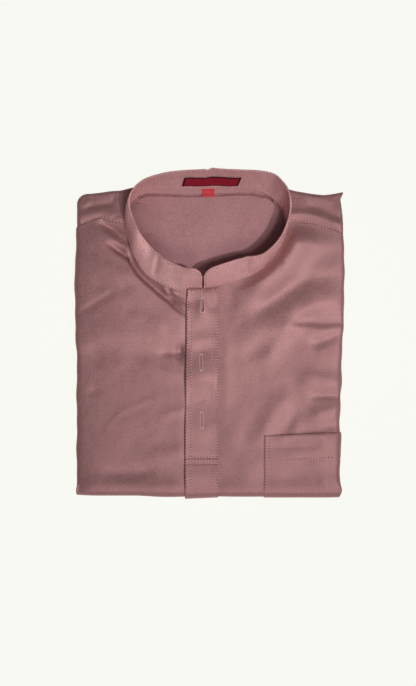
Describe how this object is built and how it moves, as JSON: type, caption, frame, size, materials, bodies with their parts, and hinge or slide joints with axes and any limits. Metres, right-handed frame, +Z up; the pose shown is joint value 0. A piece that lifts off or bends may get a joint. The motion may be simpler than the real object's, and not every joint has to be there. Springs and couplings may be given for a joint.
{
  "type": "folded baju melayu shirt",
  "caption": "Long-sleeved pullover shirt in satin, folded flat with its chest up, with a low stand collar, a front placket and a chest pocket.",
  "frame": {"origin": "on the surface that the folded shirt lies on, under the middle of its bounding box", "axes": "+Y towards the collar, +Z up from the chest, +X towards the wearer's left, where the pocket is"},
  "size_m": [0.269, 0.3292, 0.0476],
  "materials": {
    "satin": "dusty rose polyester satin, soft sheen",
    "label_cloth": "dark crimson woven label, bare",
    "tab_cloth": "bright red woven tab, bare",
    "thread": "polyester sewing thread in the cloth's colour"
  },
  "bodies": {
    "root": {"front": "satin", "back": "satin", "collar": "satin", "placket": "satin", "under_placket": "satin", "pocket": "satin", "neck_label": "label_cloth", "size_tab": "tab_cloth", "folded_layers": "satin"}
  },
  "joints": []
}
